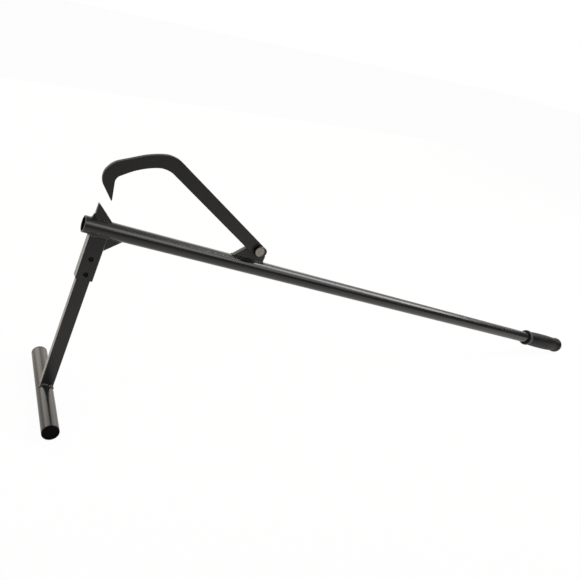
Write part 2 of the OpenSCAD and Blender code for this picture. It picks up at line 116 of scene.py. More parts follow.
bpy.ops.object.select_all(action="DESELECT")
bpy.ops.mesh.primitive_plane_add(size=FLOOR_SIZE, location=(0, 0, 0))
floor = bpy.context.object
floor.name = "paper_floor"
paper = bpy.data.materials.new("studio_paper")
paper.use_nodes = True
tree = paper.node_tree
tree.nodes.clear()
path = add_node(tree, "ShaderNodeLightPath")
place = add_node(tree, "ShaderNodeTexCoord")
across = add_node(tree, "ShaderNodeSeparateXYZ", links={0: place.outputs["Object"]})
# Painted falloff of light: the paper's colour and glow run from full strength down to a quarter towards the
# camera.
lit = add_node(
    tree, "ShaderNodeMapRange",
    inputs={"From Min": DIM_FROM_Y, "From Max": LIT_FROM_Y, "To Min": DIM_STRENGTH, "To Max": 1.0},
    links={"Value": across.outputs["Y"]})
direct = add_node(
    tree, "ShaderNodeMath", {"operation": "MAXIMUM"},
    links={0: path.outputs["Is Camera Ray"], 1: path.outputs["Is Transmission Ray"]})
share = add_node(tree, "ShaderNodeMath", {"operation": "MULTIPLY"}, {1: WHITE_SHARE}, {0: direct.outputs[0]})
glow = add_node(
    tree, "ShaderNodeMath", {"operation": "MULTIPLY"}, {1: GLOW_SHARE}, {0: path.outputs["Is Glossy Ray"]})
shaded = add_node(
    tree, "ShaderNodeVectorMath", {"operation": "SCALE"}, {0: linear(PAPER)[:3]}, {"Scale": lit.outputs[0]})
matt = add_node(tree, "ShaderNodeBsdfDiffuse", links={"Color": shaded.outputs[0]})
white = add_node(tree, "ShaderNodeEmission", inputs={"Color": WHITE, "Strength": 1.0})
warm = add_node(
    tree, "ShaderNodeEmission", inputs={"Color": linear(PAPER)}, links={"Strength": lit.outputs[0]})
mirrored = add_node(
    tree, "ShaderNodeMixShader",
    links={0: glow.outputs[0], 1: matt.outputs[0], 2: warm.outputs[0]})
mixed = add_node(
    tree, "ShaderNodeMixShader",
    links={0: share.outputs[0], 1: mirrored.outputs[0], 2: white.outputs[0]})
add_node(tree, "ShaderNodeOutputMaterial", links={"Surface": mixed.outputs[0]})
floor.data.materials.append(paper)

world = bpy.data.worlds.new("white_room")
world.use_nodes = True
bpy.context.scene.world = world
tree = world.node_tree
tree.nodes.clear()
path = add_node(tree, "ShaderNodeLightPath")
seen = add_node(
    tree, "ShaderNodeMath", {"operation": "MAXIMUM"},
    links={0: path.outputs["Is Camera Ray"], 1: path.outputs["Is Glossy Ray"]})
seen = add_node(
    tree, "ShaderNodeMath", {"operation": "MAXIMUM"},
    links={0: seen.outputs[0], 1: path.outputs["Is Transmission Ray"]})
room = add_node(tree, "ShaderNodeBackground", inputs={"Color": WHITE, "Strength": ROOM_LIGHT})
walls = add_node(
    tree, "ShaderNodeMix", {"data_type": "RGBA"}, {COLOUR_A: WHITE, COLOUR_B: linear(ROOM_WARM)},
    {0: path.outputs["Is Glossy Ray"]})
backdrop = add_node(
    tree, "ShaderNodeBackground", inputs={"Strength": 1.0}, links={"Color": walls.outputs[COLOUR_OUT]})
mixed = add_node(
    tree, "ShaderNodeMixShader",
    links={0: seen.outputs[0], 1: room.outputs[0], 2: backdrop.outputs[0]})
add_node(tree, "ShaderNodeOutputWorld", links={"Surface": mixed.outputs[0]})

bpy.ops.object.select_all(action="DESELECT")
bpy.ops.mesh.primitive_cylinder_add(
    vertices=CLOTH_SIDES, radius=CLOTH_RADIUS, depth=CLOTH_HEIGHT, end_fill_type="NOTHING",
    location=(0, 0, CLOTH_HEIGHT / 2))
cloth = bpy.context.object
cloth.name = "dark_cloth"
bpy.ops.object.transform_apply(location=True, rotation=True, scale=True)
bpy.ops.object.mode_set(mode="EDIT")
for spot, side in (
        (CLOTH_MIDDLE, CLOTH_LEFT_SIDE), (CLOTH_MIDDLE, CLOTH_RIGHT_SIDE), (CLOTH_TOP_PLACE, CLOTH_TOP_SIDE)):
    bpy.ops.mesh.select_all(action="SELECT")
    bpy.ops.mesh.bisect(plane_co=spot, plane_no=side, clear_outer=True)
bpy.ops.object.mode_set(mode="OBJECT")

bpy.ops.object.select_all(action="DESELECT")
bpy.ops.mesh.primitive_plane_add(size=CEILING_SIZE, location=(0, 0, CEILING_HEIGHT), rotation=(pi, 0, 0))
ceiling = bpy.context.object
ceiling.name = "grey_ceiling"
bpy.ops.object.transform_apply(location=True, rotation=True, scale=True)


def mirrored_wall(wall, material_name, glow_run):
    """Shows a wall in reflections only, with a glow that runs between two (x, strength) pairs."""
    for ray in ("camera", "diffuse", "transmission", "shadow"):
        setattr(wall, "visible_" + ray, False)
    left, right = glow_run
    cover = bpy.data.materials.new(material_name)
    cover.use_nodes = True
    tree = cover.node_tree
    tree.nodes.clear()
    place = add_node(tree, "ShaderNodeTexCoord")
    across = add_node(tree, "ShaderNodeSeparateXYZ", links={0: place.outputs["Object"]})
    lit = add_node(
        tree, "ShaderNodeMapRange",
        inputs={"From Min": left[0], "From Max": right[0], "To Min": left[1], "To Max": right[1]},
        links={"Value": across.outputs["X"]})
    glow = add_node(tree, "ShaderNodeEmission", inputs={"Color": WHITE}, links={"Strength": lit.outputs[0]})
    add_node(tree, "ShaderNodeOutputMaterial", links={"Surface": glow.outputs[0]})
    wall.data.materials.append(cover)


mirrored_wall(cloth, "dark_cloth", CLOTH_GLOW)
mirrored_wall(ceiling, "grey_plaster", CEILING_GLOW)


def softbox(name, place, target, width, height, radiance, colour=LAMP_WHITE):
    """Hangs up a rectangular lamp that faces its target; the camera doesn't see it."""
    lamp = bpy.data.lights.new(name, "AREA")
    lamp.shape = "RECTANGLE"
    lamp.size = width
    lamp.size_y = height
    lamp.energy = radiance * pi * width * height
    lamp.color = linear(colour)[:3]
    box = bpy.data.objects.new(name, lamp)
    bpy.context.scene.collection.objects.link(box)
    box.location = place
    box.rotation_euler = (Vector(target) - Vector(place)).to_track_quat("-Z", "Y").to_euler()
    box.visible_camera = False


softbox(
    "front_softbox", place=(0.38, -1.28, 1.4), target=(-0.3, 0.0, 0.25),
    width=0.9, height=0.9, radiance=2.75)
softbox(
    "front_fill", place=(1.3, -1.3, 1.5), target=(-0.2, 0.0, 0.25),
    width=0.8, height=1.3, radiance=0.5)
softbox(
    "right_softbox", place=(1.81, -0.15, 1.82), target=(0.0, -0.1, 0.3),
    width=1.0, height=1.7, radiance=6.8)
softbox(
    "back_softbox", place=(-1.4, 1.7, 1.25), target=(-0.6, 0.0, 0.05),
    width=1.5, height=1.3, radiance=1.6, colour=LAMP_WARM)
softbox(
    "backdrop_strip", place=(0.0, 2.8, 1.0), target=(0.0, 0.0, 0.5),
    width=5.0, height=2.0, radiance=1.05, colour=LAMP_WARM)


# Handle tube: seam-welded one inch steel tube, cut square and left open at the front end.
# It is blasted and powder coated black; the coat is baked on, semi-gloss with a faint orange peel.
MM = 0.001
MOUNT_DEPTH = 10 * MM
MERGE_GAP = 0.002 * MM
FLAT_ANGLE = radians(0.5)
SHARP_ANGLE = radians(35)
SMOOTH_ANGLE = radians(40)
EASE_SEGMENTS = 2
TUBE_RIM = 0.45 * MM

bore = next(mount for mount in frame["record"]["mounts"] if mount["name"] == "handle_bore")
outward = Vector(bore["axis"])
open_end = Vector(bore["pos_m"]) + outward * MOUNT_DEPTH
handle_tilt = atan2(outward.z, -outward.x)
standing = Matrix.Translation(open_end) @ Matrix.Rotation(handle_tilt, 4, "Y")


def only(piece):
    """Makes one object the active and only selected one."""
    bpy.ops.object.select_all(action="DESELECT")
    bpy.context.view_layer.objects.active = piece
    piece.select_set(True)


def apply_last(piece):
    """Applies the newest modifier of the active piece."""
    bpy.ops.object.modifier_apply(modifier=piece.modifiers[-1].name)


def round_edges(piece, width):
    """Rounds the sharp edges of a piece off."""
    only(piece)
    ease = piece.modifiers.new("eased_edges", "BEVEL")
    ease.width = width
    ease.segments = EASE_SEGMENTS
    ease.limit_method = "ANGLE"
    ease.angle_limit = SHARP_ANGLE
    apply_last(piece)


def ease_edges(piece, width):
    """Rounds the sharp edges of a piece off and keeps its flat faces flat to the eye."""
    round_edges(piece, width)
    bpy.ops.object.shade_smooth_by_angle(angle=SMOOTH_ANGLE)
    piece.modifiers.new("flat_faces", "WEIGHTED_NORMAL").keep_sharp = True
    apply_last(piece)


def eased_copy(node_name, piece_name, width):
    """Copies a solid, joins its triangles into faces and rounds its sharp edges off."""
    piece = bpy.data.objects.new(piece_name, frame["nodes"][node_name].data.copy())
    bpy.context.scene.collection.objects.link(piece)
    only(piece)
    piece.data.materials.clear()
    bpy.ops.mesh.customdata_custom_splitnormals_clear()
    bpy.ops.object.mode_set(mode="EDIT")
    bpy.ops.mesh.select_all(action="SELECT")
    bpy.ops.mesh.remove_doubles(threshold=MERGE_GAP)
    bpy.ops.mesh.dissolve_limited(angle_limit=FLAT_ANGLE)
    bpy.ops.object.mode_set(mode="OBJECT")
    ease_edges(piece, width)
    return piece


def fit(piece, material, body, slot, *nodes):
    """Gives a piece its material and body, and hides the solids that it stands for; slot is not used."""
    piece.data.materials.append(material)
    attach(piece, body)
    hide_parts(*nodes)


def new_finish(name, sockets, like=None):
    """Starts a material, or a copy of a like one, and sets what is the same all over its surface."""
    finish = like.copy() if like else bpy.data.materials.new(name)
    finish.name = name
    finish.use_nodes = True
    skin = finish.node_tree.nodes["Principled BSDF"]
    for socket, value in sockets.items():
        skin.inputs[socket].default_value = value
    return finish


def set_tones(ramp, tones, spread):
    """Gives a colour ramp its two tones and the places where they start and end."""
    for stop, tone, spot in zip(ramp.color_ramp.elements, tones, spread):
        stop.position = spot
        stop.color = linear(tone)


def link_skin(finish, links):
    """Lets patterns drive the shader sockets of a finish."""
    skin = finish.node_tree.nodes["Principled BSDF"]
    for socket, output in links.items():
        finish.node_tree.links.new(output, skin.inputs[socket])


# Semi-gloss black coat: deep black in the shade, and it takes pale, soft-edged reflections at a flat angle.
COAT_DEEP = "#181719"
COAT_THIN = "#1e1d1f"
COAT_ROUGH = (0.18, 0.26)
CLOUD_SPREAD = (0.35, 0.65)
COAT_CLOUD = 60 * MM
COAT_PEEL = 3 * MM
COAT_PEEL_DEPTH = 0.002 * MM

powder_coat = new_finish("black_powder_coat", {"IOR": 1.47})
tree = powder_coat.node_tree
place = add_node(tree, "ShaderNodeTexCoord")
cloud = add_node(
    tree, "ShaderNodeTexNoise", inputs={"Scale": 1 / COAT_CLOUD, "Detail": 3.0},
    links={"Vector": place.outputs["Object"]})
tone = add_node(tree, "ShaderNodeValToRGB", links={"Fac": cloud.outputs["Fac"]})
set_tones(tone, (COAT_DEEP, COAT_THIN), CLOUD_SPREAD)
gloss = add_node(
    tree, "ShaderNodeMapRange", inputs={"To Min": COAT_ROUGH[0], "To Max": COAT_ROUGH[1]},
    links={"Value": cloud.outputs["Fac"]})
peel = add_node(
    tree, "ShaderNodeTexNoise", inputs={"Scale": 1 / COAT_PEEL, "Detail": 1.0},
    links={"Vector": place.outputs["Object"]})
bump = add_node(
    tree, "ShaderNodeBump", inputs={"Strength": 0.6, "Distance": COAT_PEEL_DEPTH},
    links={"Height": peel.outputs["Fac"]})
link_skin(powder_coat, {
    "Base Color": tone.outputs["Color"], "Roughness": gloss.outputs[0], "Normal": bump.outputs[0]})

tube = eased_copy("handle_tube", "coated_handle_tube", TUBE_RIM)
fit(tube, powder_coat, "frame", "powder_coated_steel", "handle_tube")


# Leg socket: a short rectangular tube welded under the front of the handle, open at its lower end.
# Same steel and coat as the handle, with a hand-laid bead of overlapping ripples round its top.
TUBE_R = 12.7 * MM
LEG_X = 24.5 * MM
SOCKET_W = 25.4 * MM
SOCKET_D = 19.05 * MM
SOCKET_EASE = 0.3 * MM
SOCKET_BEAD = 2.9 * MM
SOCKET_BEAD_DIP = 0.3
SOCKET_LUMP = 4.6 * MM
SOCKET_LUMP_FROM = 0.4 * SOCKET_W
SOCKET_LUMP_TO = 0.15 * SOCKET_W
SOCKET_LUMP_RISE = 0.2
RIPPLE_SEGMENTS = 16
RIPPLE_RINGS = 10
RIPPLE_PITCH = 1.7 * MM
RIPPLE_HALF = 1.5 * MM
RIPPLE_LEAN = radians(32)
RIPPLE_WOBBLE = 0.1
RIPPLE_RISE = 0.62
QUICK_BEAT = 2.4
SLOW_BEAT = 0.9
BEAT_SHIFT = 1
BEAD_VOXEL = 0.36 * MM
BEAD_CALMING = 2

bpy.ops.object.select_all(action="DESELECT")
bpy.ops.mesh.primitive_uv_sphere_add(segments=RIPPLE_SEGMENTS, ring_count=RIPPLE_RINGS, radius=1.0)
ripple = bpy.context.object
ripple.name = "weld_ripple"
bpy.ops.object.mode_set(mode="EDIT")
bpy.ops.mesh.select_all(action="SELECT")
bpy.ops.transform.resize(value=(RIPPLE_HALF, 1.0, 1.0))
bpy.ops.object.mode_set(mode="OBJECT")


def straight_run(start, end, out, radius):
    """Ripples of a bead along a straight joint: place, direction, way out and radius of each."""
    start, end = Vector(start), Vector(end)
    count = max(2, round((end - start).length / RIPPLE_PITCH))
    along = (end - start).normalized()
    return [(start.lerp(end, i / count), along, Vector(out), radius) for i in range(count + 1)]


def girth_run(centre, axis, zero, ring_radius, half_angle, radius):
    """Ripples of a bead round part of a tube's girth, the same angle to both sides of a zero direction."""
    axis, zero = Vector(axis), Vector(zero).normalized()
    count = max(2, round(2 * half_angle * ring_radius / RIPPLE_PITCH))
    steps = []
    for i in range(count + 1):
        spoke = Matrix.Rotation(half_angle * (2 * i / count - 1), 3, axis) @ zero
        steps.append((Vector(centre) + spoke * ring_radius, axis.cross(spoke), spoke, radius))
    return steps


def weld_bead(piece_name, runs):
    """Lays ripples along the runs and melts them into one skin."""
    lumps = []
    for run in runs:
        for i, (point, along, out, radius) in enumerate(run):
            out = (out - along * out.dot(along)).normalized()
            turn = Matrix((along, out.cross(along), out)).transposed().to_4x4()
            quick, slow = sin(QUICK_BEAT * i), sin(SLOW_BEAT * i + BEAT_SHIFT)
            swell = radius * (1 + RIPPLE_WOBBLE * quick + RIPPLE_WOBBLE * slow)
            shape = Matrix.Rotation(RIPPLE_LEAN, 4, "Y") @ Matrix.Diagonal((1, swell, swell * RIPPLE_RISE, 1))
            lump = bpy.data.objects.new(piece_name, ripple.data.copy())
            lump.data.transform(standing @ Matrix.Translation(point) @ turn @ shape)
            bpy.context.scene.collection.objects.link(lump)
            lumps.append(lump)
    only(lumps[0])
    for lump in lumps:
        lump.select_set(True)
    bpy.ops.object.join()
    bead = bpy.context.object
    bead.name = piece_name
    melt = bead.modifiers.new("melted", "REMESH")
    melt.mode = "VOXEL"
    melt.voxel_size = BEAD_VOXEL
    melt.use_smooth_shade = True
    apply_last(bead)
    bead.modifiers.new("calmed", "SMOOTH").iterations = BEAD_CALMING
    apply_last(bead)
    return bead


# Painted weld: the coat lies thick and glossy on the ripples, with a few grains of spatter under it.
WELD_BLACK = "#171616"
WELD_ROUGH = (0.18, 0.36)
SPATTER = 0.9 * MM
SPATTER_DEPTH = 0.05 * MM

weld_coat = new_finish("powder_coat_over_weld", {"Base Color": linear(WELD_BLACK), "IOR": 1.5})
tree = weld_coat.node_tree
place = add_node(tree, "ShaderNodeTexCoord")
grain = add_node(
    tree, "ShaderNodeTexNoise", inputs={"Scale": 1 / SPATTER, "Detail": 2.0},
    links={"Vector": place.outputs["Object"]})
gloss = add_node(
    tree, "ShaderNodeMapRange", inputs={"To Min": WELD_ROUGH[0], "To Max": WELD_ROUGH[1]},
    links={"Value": grain.outputs["Fac"]})
bump = add_node(
    tree, "ShaderNodeBump", inputs={"Strength": 0.5, "Distance": SPATTER_DEPTH},
    links={"Height": grain.outputs["Fac"]})
link_skin(weld_coat, {"Roughness": gloss.outputs[0], "Normal": bump.outputs[0]})

# Coat on drawn box tube: the same powder, a little duller in front, with a pale bloom at a flat angle.
BLOOM = "#fff9f0"

box_coat = new_finish(
    "black_powder_coat_on_box_tube",
    {"IOR": 1.39, "Sheen Weight": 0.82, "Sheen Roughness": 0.3, "Sheen Tint": linear(BLOOM)},
    like=powder_coat)

socket = eased_copy("leg_socket", "coated_leg_socket", SOCKET_EASE)
fit(socket, box_coat, "frame", "powder_coated_steel", "leg_socket")

socket_y = SOCKET_D / 2
socket_z = -sqrt(TUBE_R ** 2 - socket_y ** 2)
socket_runs = []
for side in (-1, 1):
    socket_runs.append(straight_run(
        (LEG_X - SOCKET_W / 2, side * socket_y, socket_z), (LEG_X + SOCKET_W / 2, side * socket_y, socket_z),
        (0, side, -SOCKET_BEAD_DIP), SOCKET_BEAD))
    socket_runs.append(girth_run(
        (LEG_X + side * SOCKET_W / 2, 0, 0), (1, 0, 0), (0, 0, -1),
        TUBE_R, asin(socket_y / TUBE_R), SOCKET_BEAD))
socket_runs.append(straight_run(
    (LEG_X - SOCKET_LUMP_FROM, -socket_y, socket_z), (LEG_X - SOCKET_LUMP_TO, -socket_y, socket_z),
    (0, -1, SOCKET_LUMP_RISE), SOCKET_LUMP))
fit(weld_bead("socket_bead", socket_runs), weld_coat, "frame", "painted_weld", "socket_weld")


# Gusset: a three-cornered plate in the angle between socket and handle, cut from flat bar.
# Its satin black coat shows the grain of the cut; short beads hold it along both edges.
GUSSET_LEN = 23.5 * MM
GUSSET_H = 21.5 * MM
GUSSET_T = 6 * MM
GUSSET_BEAD = 3.0 * MM
BEAD_INSET = 3 * MM
PLATE_BEAD = 2.3 * MM
PLATE_EASE = 0.4 * MM

# Satin coat on cut plate: darker and duller than on the tubes, with faint drag lines on the cut edges.
PLATE_BLACK = "#1d1c1b"
PLATE_GREY = "#242321"
PLATE_ROUGH = (0.3, 0.42)
DRAG_SPREAD = (0.3, 0.7)
DRAG_LINE = 1.3 * MM
DRAG_STRETCH = 0.08
DRAG_DEPTH = 0.03 * MM

plate_coat = new_finish("satin_coat_on_cut_plate", {"IOR": 1.42})
tree = plate_coat.node_tree
place = add_node(tree, "ShaderNodeTexCoord")
drawn = add_node(
    tree, "ShaderNodeMapping", inputs={"Scale": (1.0, DRAG_STRETCH, 1.0)}, links={0: place.outputs["Object"]})
drag = add_node(
    tree, "ShaderNodeTexNoise", inputs={"Scale": 1 / DRAG_LINE, "Detail": 2.0},
    links={"Vector": drawn.outputs[0]})
tone = add_node(tree, "ShaderNodeValToRGB", links={"Fac": drag.outputs["Fac"]})
set_tones(tone, (PLATE_BLACK, PLATE_GREY), DRAG_SPREAD)
gloss = add_node(
    tree, "ShaderNodeMapRange", inputs={"To Min": PLATE_ROUGH[0], "To Max": PLATE_ROUGH[1]},
    links={"Value": drag.outputs["Fac"]})
bump = add_node(
    tree, "ShaderNodeBump", inputs={"Strength": 0.5, "Distance": DRAG_DEPTH},
    links={"Height": drag.outputs["Fac"]})
link_skin(plate_coat, {
    "Base Color": tone.outputs["Color"], "Roughness": gloss.outputs[0], "Normal": bump.outputs[0]})

gusset = eased_copy("gusset_plate", "cut_gusset", PLATE_EASE)
fit(gusset, plate_coat, "frame", "powder_coated_steel", "gusset_plate")

gusset_x = LEG_X + SOCKET_W / 2
gusset_start = SOCKET_BEAD + PLATE_BEAD
gusset_y = GUSSET_T / 2
gusset_z = -sqrt(TUBE_R ** 2 - gusset_y ** 2)
gusset_runs = []
for side in (-1, 1):
    gusset_runs.append(straight_run(
        (gusset_x + gusset_start, side * gusset_y, gusset_z),
        (gusset_x + GUSSET_LEN - BEAD_INSET, side * gusset_y, gusset_z), (0, side, -1), GUSSET_BEAD))
    gusset_runs.append(straight_run(
        (gusset_x, side * gusset_y, -TUBE_R - GUSSET_H + BEAD_INSET),
        (gusset_x, side * gusset_y, -TUBE_R - gusset_start), (1, side, 0), GUSSET_BEAD))
fit(weld_bead("gusset_bead", gusset_runs), weld_coat, "frame", "painted_weld", "gusset_weld")


# Tooth: a pointed plate that stands on the front of the handle and bites into the log.
# Cut from the same flat bar as the gusset, and welded along both sides with a lump at the front.
TOOTH_X = 11.4 * MM
TOOTH_LEN = 26.8 * MM
TOOTH_T = 6 * MM
TOOTH_EASE = 0.3 * MM
TOOTH_LUMP = 4.4 * MM
TOOTH_CLIMB = 4.5 * MM
TOOTH_CLIMB_LUMP = 0.8 * TOOTH_LUMP

# Shaded weld: the beads on the tooth and the bracket are painted darker, as painted shade in their joint with
# the handle, and they shine less.
WELD_SHADE_BLACK = "#121111"

shaded_weld_coat = new_finish(
    "powder_coat_over_weld_with_painted_shade", {"Base Color": linear(WELD_SHADE_BLACK), "Specular IOR Level": 0.2},
    like=weld_coat)

tooth = eased_copy("tooth_plate", "cut_tooth", TOOTH_EASE)
fit(tooth, plate_coat, "frame", "powder_coated_steel", "tooth_plate")

tooth_y = TOOTH_T / 2
tooth_z = sqrt(TUBE_R ** 2 - tooth_y ** 2)
tooth_runs = [
    straight_run((TOOTH_X, -tooth_y, TUBE_R), (TOOTH_X, tooth_y, TUBE_R), (-1, 0, 1), TOOTH_LUMP),
    straight_run((TOOTH_X, 0, TUBE_R), (TOOTH_X, 0, TUBE_R + TOOTH_CLIMB), (-1, 0, 0), TOOTH_CLIMB_LUMP)]
for side in (-1, 1):
    tooth_runs.append(straight_run(
        (TOOTH_X + BEAD_INSET, side * tooth_y, tooth_z),
        (TOOTH_X + TOOTH_LEN - BEAD_INSET, side * tooth_y, tooth_z), (0, side, 1), PLATE_BEAD))
fit(weld_bead("tooth_bead", tooth_runs), shaded_weld_coat, "frame", "painted_weld", "tooth_weld")


# Hook bracket: one upright plate welded on the handle, with a round top at the pivot hole.
# Cut from flat bar; a bead runs along each side of its foot and round its rear end, with a tack at the toe.
BRACKET_X = 239.5 * MM
BRACKET_LEN = 57.5 * MM
BRACKET_T = 8 * MM
BRACKET_BEAD = 3.2 * MM
REAR_LUMP = 4.4 * MM
TOE_TACK = 2.4 * MM

bracket = eased_copy("hook_bracket", "cut_hook_bracket", PLATE_EASE)
fit(bracket, plate_coat, "frame", "powder_coated_steel", "hook_bracket")

bracket_rear = BRACKET_X + BRACKET_LEN
bracket_y = BRACKET_T / 2
bracket_z = sqrt(TUBE_R ** 2 - bracket_y ** 2)
bracket_runs = []
for x, way, radius in ((bracket_rear, 1, REAR_LUMP), (BRACKET_X, -1, TOE_TACK)):
    bracket_runs.append(straight_run(
        (x, -bracket_y, bracket_z), (x, bracket_y, bracket_z), (way, 0, 1), radius))
for side in (-1, 1):
    bracket_runs.append(straight_run(
        (BRACKET_X + BEAD_INSET, side * bracket_y, bracket_z),
        (bracket_rear, side * bracket_y, bracket_z), (0, side, 1), BRACKET_BEAD))
fit(weld_bead("bracket_bead", bracket_runs), shaded_weld_coat, "frame", "painted_weld", "bracket_weld")


# Stand leg: a rectangular tube that slides into the socket, its lower end cut to sit on the foot bar.
# Same drawn steel tube and coat as the socket.
LEG_EASE = 0.3 * MM

leg = eased_copy("stand_leg", "coated_stand_leg", LEG_EASE)
fit(leg, box_coat, "frame", "powder_coated_steel", "stand_leg")


# Foot bar: a cross tube that stands on the ground, welded to the leg all round its foot.
# Same tube and coat as the handle; a moulded polyethylene plug closes each end.
FOOT_R = 12.7 * MM
STAND_H = 287 * MM
LEG_W = 19.9 * MM
LEG_D = 13.4 * MM
FOOT_BEAD = 2.0 * MM
FOOT_FILL = 2.6 * MM
FOOT_FILL_H = 12.4 * MM
FOOT_FILL_RISE = 0.5
FOOT_LUMP = 4.2 * MM
FOOT_LUMP_WAY = (0.4, 0, 0.9)
FOOT_LUMP_HALF = radians(14)
PLUG_EASE = 0.4 * MM

foot_bar = eased_copy("foot_bar", "coated_foot_bar", TUBE_RIM)
fit(foot_bar, powder_coat, "frame", "powder_coated_steel", "foot_bar")

foot_x = LEG_W / 2
foot_y = LEG_D / 2
foot_z = sqrt(FOOT_R ** 2 - foot_x ** 2) - STAND_H
fill_z = FOOT_FILL_H - STAND_H
foot_runs = []
for side in (-1, 1):
    foot_runs.append(straight_run(
        (LEG_X + side * foot_x, -foot_y, foot_z), (LEG_X + side * foot_x, foot_y, foot_z),
        (side, 0, 1), FOOT_BEAD))
    foot_runs.append(girth_run(
        (LEG_X, side * foot_y, -STAND_H), (0, 1, 0), (0, 0, 1), FOOT_R, asin(foot_x / FOOT_R), FOOT_BEAD))
foot_runs.append(straight_run(
    (LEG_X - foot_x + FOOT_FILL, -foot_y, fill_z), (LEG_X + foot_x - FOOT_FILL, -foot_y, fill_z),
    (0, -1, FOOT_FILL_RISE), FOOT_FILL))
foot_runs.append(girth_run(
    (LEG_X, -foot_y, -STAND_H), (0, 1, 0), FOOT_LUMP_WAY, FOOT_R, FOOT_LUMP_HALF, FOOT_LUMP))
fit(weld_bead("foot_bead", foot_runs), weld_coat, "frame", "painted_weld", "foot_weld")
bpy.data.objects.remove(ripple)

# Black polyethylene: nearly without shine, with the spark grain of its mould, drawn coarse enough to show.
PLUG_BLACK = "#020203"
PLUG_ROUGH = (0.3, 0.4)
SPARK_GRAIN = 0.8 * MM
SPARK_DEPTH = 0.03 * MM

plug_plastic = new_finish(
    "black_polyethylene", {"Base Color": linear(PLUG_BLACK), "IOR": 1.5, "Specular IOR Level": 0.04})
tree = plug_plastic.node_tree
place = add_node(tree, "ShaderNodeTexCoord")
spark = add_node(
    tree, "ShaderNodeTexNoise", inputs={"Scale": 1 / SPARK_GRAIN, "Detail": 2.0},
    links={"Vector": place.outputs["Object"]})
gloss = add_node(
    tree, "ShaderNodeMapRange", inputs={"To Min": PLUG_ROUGH[0], "To Max": PLUG_ROUGH[1]},
    links={"Value": spark.outputs["Fac"]})
bump = add_node(
    tree, "ShaderNodeBump", inputs={"Strength": 0.4, "Distance": SPARK_DEPTH},
    links={"Height": spark.outputs["Fac"]})
link_skin(plug_plastic, {"Roughness": gloss.outputs[0], "Normal": bump.outputs[0]})

plugs = eased_copy("foot_plugs", "moulded_foot_plugs", PLUG_EASE)
fit(plugs, plug_plastic, "frame", "plug_plastic", "foot_plugs")


# Leg bolts: two hexagon bolts with plain washers that go in from the back and hold the leg.
# Rolled steel, blackened in a hot bath and oiled; they are screwed into the front wall of the leg.
BOLT_EASE = 0.25 * MM

# Black oxide: a thin skin of nearly black iron oxide that keeps a dull sheen where the oil lies.
OXIDE_BLACK = "#070708"
OXIDE_GREY = "#0c0c0c"
OXIDE_ROUGH = (0.3, 0.45)
OXIDE_CLOUD = 3 * MM

black_oxide = new_finish("black_oxide_steel", {"IOR": 1.5, "Specular IOR Level": 0.12})
tree = black_oxide.node_tree
place = add_node(tree, "ShaderNodeTexCoord")
cloud = add_node(
    tree, "ShaderNodeTexNoise", inputs={"Scale": 1 / OXIDE_CLOUD, "Detail": 3.0},
    links={"Vector": place.outputs["Object"]})
tone = add_node(tree, "ShaderNodeValToRGB", links={"Fac": cloud.outputs["Fac"]})
set_tones(tone, (OXIDE_BLACK, OXIDE_GREY), CLOUD_SPREAD)
gloss = add_node(
    tree, "ShaderNodeMapRange", inputs={"To Min": OXIDE_ROUGH[0], "To Max": OXIDE_ROUGH[1]},
    links={"Value": cloud.outputs["Fac"]})
link_skin(black_oxide, {"Base Color": tone.outputs["Color"], "Roughness": gloss.outputs[0]})

for node_name, piece_name in (("leg_bolts", "black_leg_bolts"), ("leg_bolt_washers", "black_leg_washers")):
    fit(eased_copy(node_name, piece_name, BOLT_EASE), black_oxide, "frame", "black_oxide_steel", node_name)


# Hook: one curved arm, flame cut from plate, that laps the front face of the bracket and turns on a bolt.
# Each corner of the cut has its place along and above the handle from the pivot, and its radius. The edges
# are only deburred, and the satin black coat on its faces is the same as on the other plates.
PIVOT_X = 275.3 * MM
PIVOT_H = 34.9 * MM
HOOK_CORNERS_MM = (
    (19.5, 2.0, 8.4), (-186.0, 102.5, 35.0), (-216.5, 94.5, 110.0), (-265.0, 66.0, 26.5),
    (-278.5, 42.0, 22.5), (-250.5, 10.5, 1.0), (-256.5, 46.0, 11.0), (-224.5, 72.0, 101.0),
    (-191.5, 81.5, 32.0), (10.0, -17.5, 8.4))
CORNER_STEPS = 12
HOOK_T = 8 * MM
HOOK_BACK = -4.3 * MM
HOOK_HOLE_R = 5.05 * MM
HOOK_HOLE_SIDES = 64
DRILL_LEN = 3 * HOOK_T
HOOK_EASE = 0.5 * MM
EDGE_SLANT = 0.8

# The corners are set out first. Each one is then rounded off, and the outline gets its thickness and hole.
bpy.ops.object.select_all(action="DESELECT")
bpy.ops.mesh.primitive_circle_add(vertices=len(HOOK_CORNERS_MM), fill_type="NGON")
hook = bpy.context.object
hook.name = "cut_hook"
bpy.ops.object.mode_set(mode="EDIT")
bpy.ops.mesh.select_all(action="DESELECT")
bpy.ops.object.mode_set(mode="OBJECT")
corners = [Vector((x * MM, HOOK_BACK, z * MM)) for x, z, radius in HOOK_CORNERS_MM]
for point, corner in zip(hook.data.vertices, corners):
    point.co = corner
for i, (x, z, radius) in enumerate(HOOK_CORNERS_MM):
    before = corners[i - 1] - corners[i]
    after = corners[(i + 1) % len(corners)] - corners[i]
    for point in hook.data.vertices:
        point.select = (point.co - corners[i]).length < MERGE_GAP
    bpy.ops.object.mode_set(mode="EDIT")
    bpy.ops.mesh.bevel(
        affect="VERTICES", offset=radius * MM / tan(before.angle(after) / 2), segments=CORNER_STEPS)
    bpy.ops.mesh.select_all(action="DESELECT")
    bpy.ops.object.mode_set(mode="OBJECT")
bpy.ops.object.mode_set(mode="EDIT")
bpy.ops.mesh.select_all(action="SELECT")
bpy.ops.mesh.extrude_region_move(TRANSFORM_OT_translate={"value": (0, -HOOK_T, 0)})
bpy.ops.mesh.select_all(action="SELECT")
bpy.ops.mesh.normals_make_consistent(inside=False)
bpy.ops.object.mode_set(mode="OBJECT")

